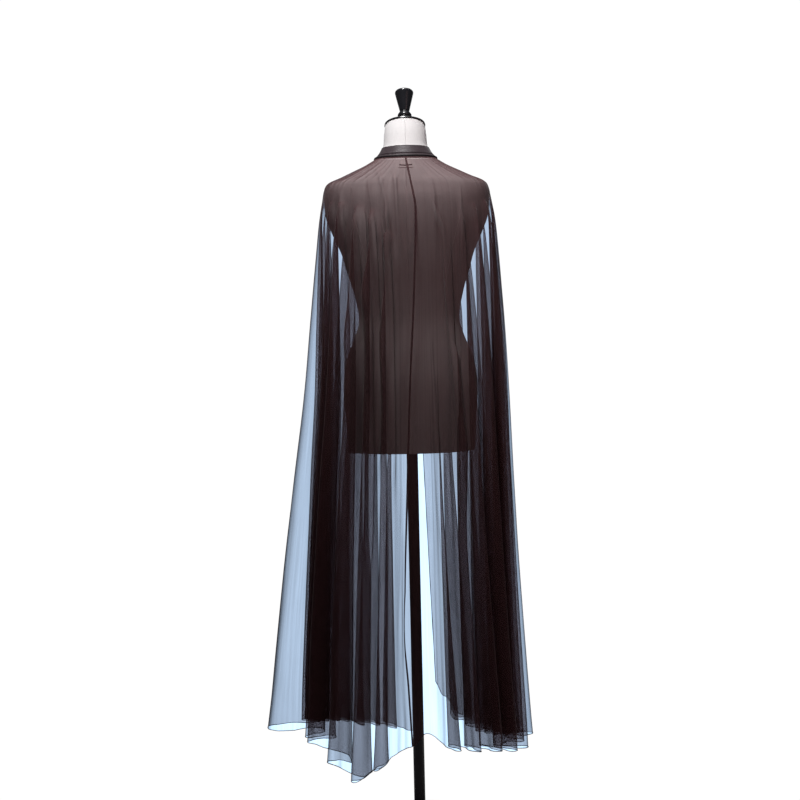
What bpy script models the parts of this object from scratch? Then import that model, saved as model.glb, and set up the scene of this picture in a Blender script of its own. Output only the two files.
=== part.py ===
"""A sheer full-length cape on a limbless dress form with its stand, in metres, +Z up.

The wearer faces -Y, so the centre back is at +Y and the wearer's left at +X. The origin is
on the floor, under the middle of the pole.
"""

import math
from collections import namedtuple
from functools import partial

import bmesh
import bpy
from mathutils import Matrix, Vector

# Cloth and seams
WALL = 0.0012  # thickness of the cape's cloth wall
SEAM_GAP = 0.0004  # left between two pieces that are sewn together
EASE_OUT = 0.0013  # the cloth's middle lies this far outside the form's shoulders
EASE_UP = 0.0008  # and this far above them
NECK_ROOM = 0.0040  # more ease at the back neck, where the label and the loop lie inside
NECK_ROOM_FROM = 1.508  # the height where that extra ease begins
NECK_ROOM_FULL = 1.546

# Heights
NECK_HEIGHT = 1.5615  # neck base at the centre back, where the collar is sewn on
HEM_HEIGHT = 0.270
SHOULDER_HEIGHT = 1.495
FORM_FOOT = 0.8965  # the form's flat underside

# Folds
FOLD_STEPS = 6  # strips across one fold
FLAT_STEP = 5.5  # degrees of ring to one strip between folds
OVERHANG = 1.12  # over 1 the walls of a full fold lean over its root
HEM_SLOPE_FROM = 1.13  # below this the hem's dips show

# Collar
COLLAR_WALL = 0.0016
COLLAR_END = math.radians(178.6)
COLLAR_LAP = math.radians(13)  # the right end runs this far past the centre front
LAP_FROM = math.radians(-168)  # from here it rises over the left end
LAP_SLOPE = math.radians(10)
LAP_RISE = 0.0028
COLLAR_STEPS = 72

# Stand
POLE_RADIUS = 0.013
BASE_RADIUS = 0.150
BASE_THICKNESS = 0.012
HUB_RADIUS = 0.030
HUB_HEIGHT = 0.010
REST_GAP = 0.0003

# A ring of the form or of the cape: its height at the centre back, its reach to the wearer's
# left and right and to the back and front of its centre, how full its corners are, how far
# the whole ring leans down to the front, and how far the front alone dips.
Ring = namedtuple("Ring", "height left right back front centre full lean dip")


def form_ring(height, half_width, back, front, centre=0.0, full=0.08, lean=0.0, dip=0.0):
    return Ring(height, half_width, half_width, back, front, centre, full, lean, dip)


FORM_RINGS = (
    form_ring(FORM_FOOT, 0.146, 0.101, 0.094),
    form_ring(0.970, 0.150, 0.107, 0.098),
    form_ring(1.050, 0.154, 0.108, 0.100),
    form_ring(1.110, 0.145, 0.096, 0.096),
    form_ring(1.157, 0.126, 0.084, 0.092),
    form_ring(1.200, 0.115, 0.080, 0.091),
    form_ring(1.260, 0.1255, 0.086, 0.102),
    form_ring(1.315, 0.142, 0.096, 0.120),
    form_ring(1.350, 0.152, 0.101, 0.128),
    form_ring(1.395, 0.1715, 0.105, 0.120, dip=0.004),
    form_ring(1.430, 0.1845, 0.105, 0.108, dip=0.010),
    form_ring(1.470, 0.188, 0.101, 0.092, full=0.10, dip=0.018),
    form_ring(1.495, 0.186, 0.095, 0.080, full=0.10, dip=0.026),
    form_ring(1.508, 0.177, 0.090, 0.073, full=0.08, dip=0.032),
    form_ring(1.520, 0.149, 0.083, 0.067, full=0.06, dip=0.038),
    form_ring(1.533, 0.121, 0.075, 0.062, full=0.04, dip=0.040),
    form_ring(1.546, 0.094, 0.066, 0.057, full=0.02, dip=0.043),
    form_ring(NECK_HEIGHT, 0.0685, 0.055, 0.053, full=0.0, dip=0.043),
    form_ring(1.575, 0.0580, 0.0505, 0.050, centre=-0.002, full=0.0, lean=0.001, dip=0.042),
    form_ring(1.590, 0.0510, 0.0468, 0.0465, centre=-0.004, full=0.0, lean=0.002, dip=0.038),
    form_ring(1.626, 0.0480, 0.0445, 0.0445, centre=-0.009, full=0.0, lean=0.012, dip=0.018),
    form_ring(1.651, 0.0455, 0.0430, 0.0430, centre=-0.014, full=0.0, lean=0.026, dip=0.0),
)
FORM_COLUMNS = 44

# Where the cape lies on the form its rings come from the form's own, at these heights.
RESTING_HEIGHTS = (1.5600, 1.546, 1.533, 1.520, 1.508, SHOULDER_HEIGHT)

# Below the shoulders it hangs free. These rings run along the feet of the folds.
HANGING_RINGS = (
    Ring(1.470, 0.1925, 0.1925, 0.1050, 0.0960, 0.0, 0.10, 0.0, 0.018),
    Ring(1.420, 0.1960, 0.1970, 0.1110, 0.1230, 0.0, 0.10, 0.0, 0.008),
    Ring(1.330, 0.1970, 0.1990, 0.1160, 0.1380, 0.0, 0.08, 0.0, 0.0),
    Ring(1.190, 0.1990, 0.2010, 0.1240, 0.1440, 0.0, 0.06, 0.0, 0.0),
    Ring(1.020, 0.2020, 0.2000, 0.1350, 0.1480, 0.0, 0.06, 0.0, 0.0),
    Ring(0.830, 0.2120, 0.1970, 0.1480, 0.1520, 0.0, 0.06, 0.0, 0.0),
    Ring(0.630, 0.2210, 0.1960, 0.1620, 0.1610, 0.0, 0.06, 0.0, 0.0),
    Ring(0.430, 0.2290, 0.1990, 0.1760, 0.1700, 0.0, 0.06, 0.0, 0.0),
    Ring(HEM_HEIGHT, 0.2330, 0.2030, 0.1850, 0.1760, 0.0, 0.06, 0.0, 0.0),
)

# A fold: the angle of its foot under the shoulder and at the hem, half its width, how far its
# crest leans to the wearer's left, its depth at the hem, the height where it begins, and its
# growth, where a low value fills it out high up. Angles are in degrees: 0 is the centre back,
# 90 the wearer's left, -90 the right and 180 the front.
Fold = namedtuple("Fold", "top hem half sweep depth start growth")
FOLDS = (
    Fold(-164, -162.0, 4.3, 13.0, 0.066, 1.380, 0.75),
    Fold(-153, -152.0, 4.4, 14.0, 0.072, 1.420, 0.60),
    Fold(-143, -142.5, 4.4, 14.0, 0.070, 1.440, 0.50),
    Fold(-133, -133.0, 4.4, 12.0, 0.066, 1.450, 0.45),
    Fold(-123, -123.5, 4.4, 8.0, 0.054, 1.450, 0.50),
    Fold(-113, -114.0, 4.4, 4.0, 0.044, 1.460, 0.50),
    Fold(-104, -104.5, 4.3, 2.0, 0.040, 1.460, 0.55),
    Fold(-88, -89.0, 7.5, 2.0, 0.063, 1.475, 0.90),
    Fold(-75, -75.5, 4.6, -1.0, 0.046, 1.470, 0.55),
    Fold(-61, -62.0, 5.8, -5.5, 0.062, 1.460, 0.50),
    Fold(-46, -47.5, 5.4, -5.5, 0.066, 1.450, 0.50),
    Fold(-34, -35.5, 4.9, -6.0, 0.066, 1.430, 0.60),
    Fold(-24, -25.0, 4.7, -6.0, 0.056, 1.400, 0.75),
    Fold(-13, -14.5, 4.2, -6.5, 0.050, 1.100, 0.90),
    Fold(9.5, 12.0, 4.4, 8.0, 0.040, 1.390, 0.45),
    Fold(19, 22.0, 4.2, 8.5, 0.052, 1.440, 0.42),
    Fold(30, 32.5, 5.2, 9.0, 0.070, 1.450, 0.42),
    Fold(44, 46.5, 6.0, 7.0, 0.072, 1.460, 0.42),
    Fold(57, 58.0, 4.4, 2.0, 0.058, 1.465, 0.50),
    Fold(76, 77.5, 14.0, -1.0, 0.118, 1.475, 0.90),
    Fold(101, 101.0, 4.4, -2.0, 0.044, 1.460, 0.55),
    Fold(111, 111.0, 4.4, -5.0, 0.046, 1.460, 0.50),
    Fold(121, 121.0, 4.5, -9.0, 0.058, 1.450, 0.50),
    Fold(131, 131.0, 4.5, -13.0, 0.070, 1.450, 0.45),
    Fold(141, 141.0, 4.5, -15.0, 0.074, 1.440, 0.45),
    Fold(151, 151.0, 4.4, -15.0, 0.074, 1.420, 0.55),
    Fold(161, 161.5, 4.3, -13.0, 0.066, 1.380, 0.70),
    Fold(170.5, 171.0, 4.2, -9.0, 0.050, 1.330, 0.80),
)

# How far the hem dips below its level, by angle.
HemDip = namedtuple("HemDip", "angle dip")
HEM_DIPS = (
    HemDip(-168, -0.040),
    HemDip(-163, 0.000),
    HemDip(-154, 0.058),
    HemDip(-138, 0.076),
    HemDip(-121, 0.074),
    HemDip(-108, 0.060),
    HemDip(-87, 0.040),
    HemDip(-67, 0.046),
    HemDip(-52, 0.034),
    HemDip(-39, 0.022),
    HemDip(-19, 0.013),
    HemDip(-5, -0.016),
    HemDip(4, 0.012),
    HemDip(10, 0.024),
    HemDip(20, 0.055),
    HemDip(30, 0.082),
    HemDip(41, 0.040),
    HemDip(53, 0.004),
    HemDip(76, -0.004),
    HemDip(99, 0.012),
    HemDip(118, 0.030),
    HemDip(136, 0.045),
    HemDip(148, 0.062),
    HemDip(179, 0.085),
)

# A seam or a free edge: its angle under the shoulder and at the hem, in degrees.
Line = namedtuple("Line", "top hem")
RIGHT_FRONT_EDGE = Line(-178.4, -167.5)
RIGHT_SIDE_SEAM = Line(-97.0, -97.2)
LEFT_SIDE_SEAM = Line(92.8, 93.0)
LEFT_FRONT_EDGE = Line(178.4, 179.3)

# The centre back seam wanders: how far to the wearer's left it runs at each height.
BackSeam = namedtuple("BackSeam", "height aside")
BACK_SEAM = (
    BackSeam(NECK_HEIGHT, 0.0000),
    BackSeam(1.500, -0.0100),
    BackSeam(1.445, -0.0175),
    BackSeam(1.250, -0.0110),
    BackSeam(1.070, 0.0000),
    BackSeam(0.900, 0.0085),
    BackSeam(0.600, 0.0205),
    BackSeam(0.500, 0.0235),
    BackSeam(0.400, 0.0180),
    BackSeam(HEM_HEIGHT, 0.0120),
)


def between(low, high, share):
    return low + (high - low) * share


def ring_at(rings, height):
    """The ring at this height, worked out from the two rings next to it."""
    ordered = sorted(rings, key=lambda ring: ring.height)
    for lower, upper in zip(ordered, ordered[1:]):
        if height <= upper.height:
            share = (height - lower.height) / (upper.height - lower.height)
            return Ring(*(between(a, b, share) for a, b in zip(lower, upper)))
    return ordered[-1]


def grown(ring, out, up=0.0, back_out=0.0):
    """The same ring, larger on every side and higher."""
    return ring._replace(
        height=ring.height + up,
        left=ring.left + out,
        right=ring.right + out,
        back=ring.back + out + back_out,
        front=ring.front + out,
    )


def ring_point(ring, angle):
    side, behind = math.sin(angle), math.cos(angle)
    reach = ring.left if side >= 0 else ring.right
    depth = ring.back if behind >= 0 else ring.front
    turned = (1 - behind) / 2
    return Vector(
        (
            reach * side * (1 + ring.full * behind**2),
            ring.centre + depth * behind * (1 + ring.full * side**2),
            ring.height - ring.lean * turned - ring.dip * turned**4,
        )
    )


def ring_run(ring, angle):
    """The ring's direction at this angle, as metres for each radian, kept level."""
    step = 0.01
    run = (ring_point(ring, angle + step) - ring_point(ring, angle - step)) / (2 * step)
    run.z = 0
    return run


def outward(ring, angle):
    """The level direction straight out of the ring."""
    run = ring_run(ring, angle).normalized()
    return Vector((-run.y, run.x, 0))


def drop_share(height):
    """0 at the shoulders and 1 at the hem."""
    share = (SHOULDER_HEIGHT - height) / (SHOULDER_HEIGHT - HEM_HEIGHT)
    return min(max(share, 0.0), 1.0)


def line_angle(line, ring):
    return math.radians(between(line.top, line.hem, drop_share(ring.height)))


def back_seam_angle(ring):
    """The angle at which the centre back seam crosses a ring."""
    rows = sorted(BACK_SEAM)
    aside = rows[-1].aside
    for lower, upper in zip(rows, rows[1:]):
        if ring.height <= upper.height:
            share = (ring.height - lower.height) / (upper.height - lower.height)
            aside = between(lower.aside, upper.aside, share)
            break
    return math.asin(aside / (ring.left if aside >= 0 else ring.right))


def fold_foot(fold, side, ring):
    """The angle of one foot of a fold, with side -1 or 1, or of its middle, with side 0."""
    middle = between(fold.top, fold.hem, drop_share(ring.height))
    return math.radians(middle + side * fold.half)


def fold_fullness(fold, height):
    """0 where the fold begins and 1 at the hem."""
    share = (fold.start - height) / (fold.start - HEM_HEIGHT)
    return min(max(share, 0.0), 1.0)


def hem_dip(degrees):
    """How far the hem dips at this angle, in even waves from row to row of the table."""
    degrees = min(max(degrees, HEM_DIPS[0].angle), HEM_DIPS[-1].angle)
    for first, second in zip(HEM_DIPS, HEM_DIPS[1:]):
        if degrees <= second.angle:
            share = (degrees - first.angle) / (second.angle - first.angle)
            return between(first.dip, second.dip, (1 - math.cos(math.pi * share)) / 2)
    return HEM_DIPS[-1].dip


def fold_place(fold, across, ring):
    """Angle and reach of the cloth at across, from -1 to 1 over the fold."""
    fullness = fold_fullness(fold, ring.height)
    lean_over = OVERHANG * fullness**0.5 * math.sin(2 * math.pi * across) / (2 * math.pi)
    rise = fullness**fold.growth * (1 + math.cos(math.pi * across)) / 2
    aside = fold.half * (across + lean_over) + fold.sweep * rise
    return fold_foot(fold, 0, ring) + math.radians(aside), fold.depth * rise


def flat_place(first, last, share, ring):
    return between(first(ring), last(ring), share), 0.0


def flat_columns(first, last, with_first):
    """The columns between two lines. A column gives an angle and a reach on any ring."""
    hem = HANGING_RINGS[-1]
    steps = max(1, round(math.degrees(last(hem) - first(hem)) / FLAT_STEP))
    return [
        partial(flat_place, first, last, step / steps)
        for step in range(0 if with_first else 1, steps + 1)
    ]


def fold_columns(fold):
    return [
        partial(fold_place, fold, 2 * step / FOLD_STEPS - 1) for step in range(1, FOLD_STEPS + 1)
    ]


def panel_columns(start, end, folds):
    """A panel's columns from its first edge, over its folds, to its last edge."""
    columns = []
    before = start
    for fold in folds:
        columns += flat_columns(before, partial(fold_foot, fold, -1), not columns)
        columns += fold_columns(fold)
        before = partial(fold_foot, fold, 1)
    return columns + flat_columns(before, end, False)


def cape_rings():
    """The cape's rings, from the collar down to the hem."""
    resting = []
    for height in RESTING_HEIGHTS:
        share = (height - NECK_ROOM_FROM) / (NECK_ROOM_FULL - NECK_ROOM_FROM)
        room = NECK_ROOM * min(max(share, 0.0), 1.0)
        resting.append(grown(ring_at(FORM_RINGS, height), EASE_OUT, EASE_UP, room))
    return resting + list(HANGING_RINGS)


def cloth_point(ring, angle, reach):
    point = ring_point(ring, angle) + outward(ring, angle) * reach
    below = max(0.0, HEM_SLOPE_FROM - ring.height) / (HEM_SLOPE_FROM - HEM_HEIGHT)
    point.z -= hem_dip(math.degrees(angle)) * below**2
    return point


def panel_surface(start, end, folds):
    """Rows of points from seam to seam, held half a seam gap short of both."""
    columns = panel_columns(start, end, folds)
    rows = []
    for ring in cape_rings():
        row = []
        for column, place in enumerate(columns):
            angle, reach = place(ring)
            trim = SEAM_GAP / 2 / ring_run(ring, angle).length
            if column == 0:
                angle += trim
            elif column == len(columns) - 1:
                angle -= trim
            row.append(cloth_point(ring, angle, reach))
        rows.append(row)
    return rows


def collection(name):
    made = bpy.data.collections.new(name)
    bpy.context.scene.collection.children.link(made)
    return made


def material(name, colour, roughness, metallic=0.0):
    made = bpy.data.materials.new(name)
    made.use_nodes = True
    shader = made.node_tree.nodes["Principled BSDF"]
    shader.inputs["Base Color"].default_value = (*colour, 1.0)
    shader.inputs["Roughness"].default_value = roughness
    shader.inputs["Metallic"].default_value = metallic
    return made


def add_object(name, mesh, place, finish):
    made = bpy.data.objects.new(name, mesh)
    mesh.materials.append(finish)
    place.objects.link(made)
    return made


def lofted(name, rows, closed_round, capped=False):
    """A mesh through rows of points. Faces point out when rows run down and angles rise."""
    grid = bmesh.new()
    verts = [[grid.verts.new(point) for point in row] for row in rows]
    count = len(rows[0])
    for upper, lower in zip(verts, verts[1:]):
        for i in range(count if closed_round else count - 1):
            j = (i + 1) % count
            grid.faces.new((upper[i], lower[i], lower[j], upper[j]))
    if capped:
        grid.faces.new(verts[0])
        grid.faces.new(list(reversed(verts[-1])))
    bmesh.ops.recalc_face_normals(grid, faces=grid.faces)
    mesh = bpy.data.meshes.new(name)
    grid.to_mesh(mesh)
    grid.free()
    mesh.shade_smooth()
    mesh.set_sharp_from_angle(angle=math.radians(40))
    return mesh


def thicken(made, wall):
    shell = made.modifiers.new("wall", "SOLIDIFY")
    shell.thickness = wall
    shell.offset = 0.0
    return made


def full_turn(count):
    return [2 * math.pi * i / count for i in range(count)]


def make_form(place, finish):
    rings = sorted(FORM_RINGS, key=lambda ring: -ring.height)
    rows = [[ring_point(ring, angle) for angle in full_turn(FORM_COLUMNS)] for ring in rings]
    return add_object("dress_form", lofted("dress_form", rows, True, capped=True), place, finish)


def neck_frame():
    """The neck's sloping top: its middle and its upward direction."""
    top = FORM_RINGS[-1]
    tilt = math.atan(top.lean / (2 * top.back))
    middle = Vector((0, top.centre, top.height - top.lean / 2))
    return Matrix.Translation(middle) @ Matrix.Rotation(tilt, 4, "X")


CAP_THICKNESS = 0.0030
CAP_CROWN = 0.0020
CAP_OVERHANG = 0.0008


def make_neck_cap(place, finish):
    """A thin cap on the neck's slope, with a low crown."""
    top = FORM_RINGS[-1]
    slope = math.hypot(2 * top.back, top.lean) / 2
    grid = bmesh.new()
    bmesh.ops.create_cone(
        grid,
        cap_ends=True,
        segments=FORM_COLUMNS,
        radius1=1.0,
        radius2=0.96,
        depth=CAP_THICKNESS,
    )
    bmesh.ops.scale(
        grid, vec=(top.left + CAP_OVERHANG, slope + CAP_OVERHANG, 1.0), verts=grid.verts
    )
    bmesh.ops.translate(grid, vec=(0, 0, CAP_THICKNESS / 2 + REST_GAP), verts=grid.verts)
    crown = [face for face in grid.faces if face.normal.z > 0.9]
    bmesh.ops.inset_region(grid, faces=crown, thickness=0.012, depth=CAP_CROWN)
    mesh = bpy.data.meshes.new("neck_cap")
    grid.to_mesh(mesh)
    grid.free()
    made = add_object("neck_cap", mesh, place, finish)
    made.matrix_world = neck_frame()
    return made


def turned(name, profile, steps, place, finish):
    """A solid of revolution about Z, from (radius, height) points, top to bottom."""
    mesh = bpy.data.meshes.new(name)
    points = [(radius, 0.0, height) for radius, height in profile]
    mesh.from_pydata(points, [(i, i + 1) for i in range(len(points) - 1)], [])
    made = add_object(name, mesh, place, finish)
    screw = made.modifiers.new("turning", "SCREW")
    screw.steps = screw.render_steps = steps
    screw.use_merge_vertices = True
    screw.merge_threshold = 0.00005
    screw.use_smooth_shade = True
    return made


FINIAL_PROFILE = (
    (0.0000, 0.0835),
    (0.0140, 0.0829),
    (0.0195, 0.0808),
    (0.0215, 0.0770),
    (0.0208, 0.0730),
    (0.0112, 0.0318),
    (0.0094, 0.0298),
    (0.0125, 0.0276),
    (0.0160, 0.0222),
    (0.0161, 0.0180),
    (0.0125, 0.0132),
    (0.0110, 0.0070),
    (0.0165, 0.0015),
    (0.0165, 0.0000),
    (0.0000, 0.0000),
)


def make_finial(place, finish):
    made = turned("finial", FINIAL_PROFILE, 28, place, finish)
    seat = CAP_THICKNESS + CAP_CROWN + 2 * REST_GAP
    made.matrix_world = neck_frame() @ Matrix.Translation((0, 0, seat))
    return made


def make_stand(place, finish):
    hub_top = BASE_THICKNESS + HUB_HEIGHT
    base_profile = (
        (0.0, hub_top),
        (POLE_RADIUS + 0.004, hub_top),
        (HUB_RADIUS, BASE_THICKNESS + 0.001),
        (BASE_RADIUS - 0.006, BASE_THICKNESS),
        (BASE_RADIUS, BASE_THICKNESS - 0.004),
        (BASE_RADIUS, 0.0),
        (0.0, 0.0),
    )
    turned("stand_base", base_profile, 48, place, finish)
    foot = hub_top + REST_GAP
    length = FORM_FOOT - REST_GAP - foot
    grid = bmesh.new()
    bmesh.ops.create_cone(
        grid,
        cap_ends=True,
        segments=28,
        radius1=POLE_RADIUS,
        radius2=POLE_RADIUS,
        depth=length,
    )
    mesh = bpy.data.meshes.new("stand_pole")
    grid.to_mesh(mesh)
    grid.free()
    pole = add_object("stand_pole", mesh, place, finish)
    pole.location.z = foot + length / 2


# The stand collar's wall: heights and how far its middle lies outside the form's neck.
CollarRow = namedtuple("CollarRow", "height out")
COLLAR_ROWS = (
    CollarRow(1.5880, 0.0017),
    CollarRow(1.5755, 0.0030),
    CollarRow(1.5635, 0.0040),
)


def collar_ring(row):
    ring = grown(ring_at(FORM_RINGS, row.height), row.out)
    return ring._replace(height=row.height)


def collar_row(row):
    """From the lapped right end, round the back, to the left end."""
    ring = collar_ring(row)
    lap_end = -math.pi - COLLAR_LAP
    points = []
    for step in range(COLLAR_STEPS + 1):
        angle = between(lap_end, COLLAR_END, step / COLLAR_STEPS)
        share = min(max((LAP_FROM - angle) / LAP_SLOPE, 0.0), 1.0)
        rise = LAP_RISE * share * share * (3 - 2 * share)
        points.append(ring_point(ring, angle) + outward(ring, angle) * rise)
    return points


def make_collar(place, finish):
    rows = [collar_row(row) for row in COLLAR_ROWS]
    made = add_object("stand_collar", lofted("stand_collar", rows, False), place, finish)
    return thicken(made, COLLAR_WALL)


BUTTON_RADIUS = 0.0055
BUTTON_HEIGHT = 0.0036
BUTTON_ANGLE = -math.pi - COLLAR_LAP * 0.45
BUTTON_GAP = 0.0006  # a little more than the rest gap, because the collar is round


def make_button(place, finish):
    """A small covered button on the lap of the collar."""
    profile = (
        (0.0, BUTTON_HEIGHT),
        (BUTTON_RADIUS * 0.55, BUTTON_HEIGHT * 0.9),
        (BUTTON_RADIUS * 0.92, BUTTON_HEIGHT * 0.55),
        (BUTTON_RADIUS, BUTTON_HEIGHT * 0.25),
        (BUTTON_RADIUS * 0.9, 0.0),
        (0.0, 0.0),
    )
    top, middle = (collar_ring(row) for row in COLLAR_ROWS[:2])
    seat = ring_point(middle, BUTTON_ANGLE)
    out = outward(middle, BUTTON_ANGLE)
    slope = ring_point(top, BUTTON_ANGLE) - seat
    facing = slope.cross(Vector((out.y, -out.x, 0))).normalized()
    seat += out * LAP_RISE + facing * (COLLAR_WALL / 2 + BUTTON_GAP)
    made = turned("collar_button", profile, 20, place, finish)
    turn = facing.to_track_quat("Z", "Y").to_matrix().to_4x4()
    made.matrix_world = Matrix.Translation(seat) @ turn


LABEL_WALL = 0.0010
LABEL_OUT = 0.0012  # its middle, outside the form
LABEL_SPREAD = math.radians(7.6)
LABEL_TOP = 1.5575
LABEL_FOOT = 1.5350


def make_label(place, finish):
    rows = []
    for step in range(4):
        height = between(LABEL_TOP, LABEL_FOOT, step / 3)
        ring = grown(ring_at(FORM_RINGS, height), LABEL_OUT)
        angles = [between(-LABEL_SPREAD, LABEL_SPREAD, i / 8) for i in range(9)]
        rows.append([ring_point(ring, angle) for angle in angles])
    made = add_object("neck_label", lofted("neck_label", rows, False), place, finish)
    return thicken(made, LABEL_WALL)


LOOP_RADIUS = 0.0006
LOOP_OUT = 0.0030
LOOP_SPREAD = math.radians(7.7)
LOOP_HEIGHT = 1.5420
LOOP_SAG = 0.0015


def make_loop(place, finish):
    """The hanger loop: a thin cord that lies across the label."""
    curve = bpy.data.curves.new("hanger_loop", "CURVE")
    curve.dimensions = "3D"
    curve.bevel_depth = LOOP_RADIUS
    curve.bevel_resolution = 2
    curve.use_fill_caps = True
    spline = curve.splines.new("POLY")
    count = 13
    spline.points.add(count - 1)
    for step, point in enumerate(spline.points):
        share = 2 * step / (count - 1) - 1
        height = LOOP_HEIGHT - LOOP_SAG * (1 - share**2)
        ring = grown(ring_at(FORM_RINGS, height), LOOP_OUT)
        point.co = (*ring_point(ring, LOOP_SPREAD * share), 1.0)
    made = bpy.data.objects.new("hanger_loop", curve)
    curve.materials.append(finish)
    place.objects.link(made)
    return made


# A panel: the lines that it runs between, and the hem angles that its folds lie between.
Panel = namedtuple("Panel", "name start end lowest highest")
PANELS = (
    Panel("front_right_panel", RIGHT_FRONT_EDGE, RIGHT_SIDE_SEAM, -180, -97),
    Panel("back_right_panel", RIGHT_SIDE_SEAM, None, -97, 0),
    Panel("back_left_panel", None, LEFT_SIDE_SEAM, 0, 93),
    Panel("front_left_panel", LEFT_SIDE_SEAM, LEFT_FRONT_EDGE, 93, 180),
)


def panel_edge(line):
    """A panel's edge as a function of the ring: None stands for the centre back seam."""
    return partial(line_angle, line) if line else back_seam_angle


def make_panels(place, finish):
    for panel in PANELS:
        folds = [fold for fold in FOLDS if panel.lowest < fold.hem < panel.highest]
        rows = panel_surface(panel_edge(panel.start), panel_edge(panel.end), folds)
        thicken(add_object(panel.name, lofted(panel.name, rows, False), place, finish), WALL)


def main():
    for old in list(bpy.data.objects):
        bpy.data.objects.remove(old)
    place = collection("cape_on_dress_form")
    chiffon = material("chiffon", (0.055, 0.034, 0.034), 0.75)
    collar_cloth = material("collar_cloth", (0.050, 0.034, 0.036), 0.55)
    cover = material("form_cover", (0.80, 0.78, 0.77), 0.85)
    lacquer = material("black_lacquer", (0.012, 0.012, 0.014), 0.28)
    paint = material("black_paint", (0.015, 0.015, 0.016), 0.45)
    label_cloth = material("label_cloth", (0.62, 0.58, 0.56), 0.8)
    make_stand(place, paint)
    make_form(place, cover)
    make_neck_cap(place, lacquer)
    make_finial(place, lacquer)
    make_panels(place, chiffon)
    make_collar(place, collar_cloth)
    make_button(place, collar_cloth)
    make_label(place, label_cloth)
    make_loop(place, collar_cloth)


main()
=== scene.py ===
import math

import bpy
import numpy as np
from mathutils import Matrix, Vector


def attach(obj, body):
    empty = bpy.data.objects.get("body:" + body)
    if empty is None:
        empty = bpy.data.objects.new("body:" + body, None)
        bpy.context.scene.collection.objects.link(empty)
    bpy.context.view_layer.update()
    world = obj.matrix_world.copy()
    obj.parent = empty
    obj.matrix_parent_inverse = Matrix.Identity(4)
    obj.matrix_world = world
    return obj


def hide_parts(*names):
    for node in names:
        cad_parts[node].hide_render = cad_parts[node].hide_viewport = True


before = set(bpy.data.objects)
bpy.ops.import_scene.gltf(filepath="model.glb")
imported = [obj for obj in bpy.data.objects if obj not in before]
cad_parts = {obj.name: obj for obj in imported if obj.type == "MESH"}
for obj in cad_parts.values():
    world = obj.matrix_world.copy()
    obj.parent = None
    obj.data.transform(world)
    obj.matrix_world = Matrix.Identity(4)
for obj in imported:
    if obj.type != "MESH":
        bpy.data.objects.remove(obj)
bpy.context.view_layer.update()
scene = bpy.context.scene
print("frame loaded:", len(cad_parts), "nodes")

# A ring is one level of the form or of the cape, in metres. Its height is taken at the centre
# back, left and right are the wearer's, and the wearer faces -Y.
ringNames = ("height", "left", "right", "back", "front", "centre", "full", "lean", "dip")


def between(low, high, share):
    return low + (high - low) * share


def smoothStep(share):
    share = np.clip(share, 0.0, 1.0)
    return share * share * (3 - 2 * share)


# Values on a smooth curve through every row of a table, at places counted in rows.
def smoothRows(table, places):
    last = len(table) - 1
    start = np.clip(places.astype(int), 0, last - 1)
    share = (places - start)[:, None]
    here, after = table[start], table[start + 1]
    before = np.where(start[:, None] > 0, table[start - 1], 2 * here - after)
    beyond = np.where(start[:, None] < last - 1, table[np.minimum(start + 2, last)], 2 * after - here)
    return 0.5 * (
        2 * here
        + (after - before) * share
        + (2 * before - 5 * here + 4 * after - beyond) * share**2
        + (beyond - before + 3 * (here - after)) * share**3
    )


# Rings about every spacing metres down a table of rings.
def spreadRings(table, spacing):
    gaps = np.hypot(np.diff(table[:, 0]), np.diff(table[:, 1]))
    places = []
    for row, gap in enumerate(gaps):
        count = max(1, math.ceil(gap / spacing))
        places += [row + step / count for step in range(count)]
    values = smoothRows(table, np.array(places + [len(table) - 1.0]))
    return {name: values[:, i : i + 1] for i, name in enumerate(ringNames)}


def ringPoint(ring, angle):
    side, behind = np.sin(angle), np.cos(angle)
    reach = np.where(side >= 0, ring["left"], ring["right"])
    depth = np.where(behind >= 0, ring["back"], ring["front"])
    turned = (1 - behind) / 2
    return np.stack(
        [
            reach * side * (1 + ring["full"] * behind**2),
            ring["centre"] + depth * behind * (1 + ring["full"] * side**2),
            ring["height"] - ring["lean"] * turned - ring["dip"] * turned**4,
        ],
        -1,
    )


def unit(vectors):
    return vectors / np.maximum(np.linalg.norm(vectors, axis=-1, keepdims=True), 1e-12)


# The level direction straight out of a ring.
def outward(ring, angle):
    run = ringPoint(ring, angle + 0.01) - ringPoint(ring, angle - 0.01)
    return unit(np.stack([-run[..., 1], run[..., 0], 0 * angle], -1))


def ringAt(table, height):
    order = np.argsort(table[:, 0])
    values = [np.interp(height, table[order, 0], table[order, i]) for i in range(len(ringNames))]
    return dict(zip(ringNames, np.array(values).reshape(-1, 1, 1)))


def grown(ring, out, up=0.0):
    larger = {name: ring[name] + out for name in ("left", "right", "back", "front")}
    return {**ring, **larger, "height": ring["height"] + up}


def addObject(name, mesh, material, smooth=True):
    made = bpy.data.objects.new(name, mesh)
    scene.collection.objects.link(made)
    if smooth:
        mesh.shade_smooth()
    mesh.materials.append(material)
    return made


# Gives a piece its body and hides the CAD node that it stands for, if it has one.
def fitPiece(piece, node=None):
    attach(piece, "root")
    if node:
        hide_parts(node)
    return piece


# Rows of points as a sheet. Going round joins the last column to the first.
def gridMesh(name, points, goingRound=False, capped=False):
    rows, columns = points.shape[:2]
    index = np.arange(rows * columns).reshape(rows, columns)
    beside = np.roll(index, -1, axis=1)
    if not goingRound:
        index, beside = index[:, :-1], beside[:, :-1]
    faces = np.stack([index[:-1], index[1:], beside[1:], beside[:-1]], -1).reshape(-1, 4).tolist()
    if capped:
        faces += [index[0].tolist(), index[-1][::-1].tolist()]
    mesh = bpy.data.meshes.new(name)
    mesh.from_pydata(points.reshape(-1, 3).tolist(), [], faces)
    mesh.update()
    return mesh


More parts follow.
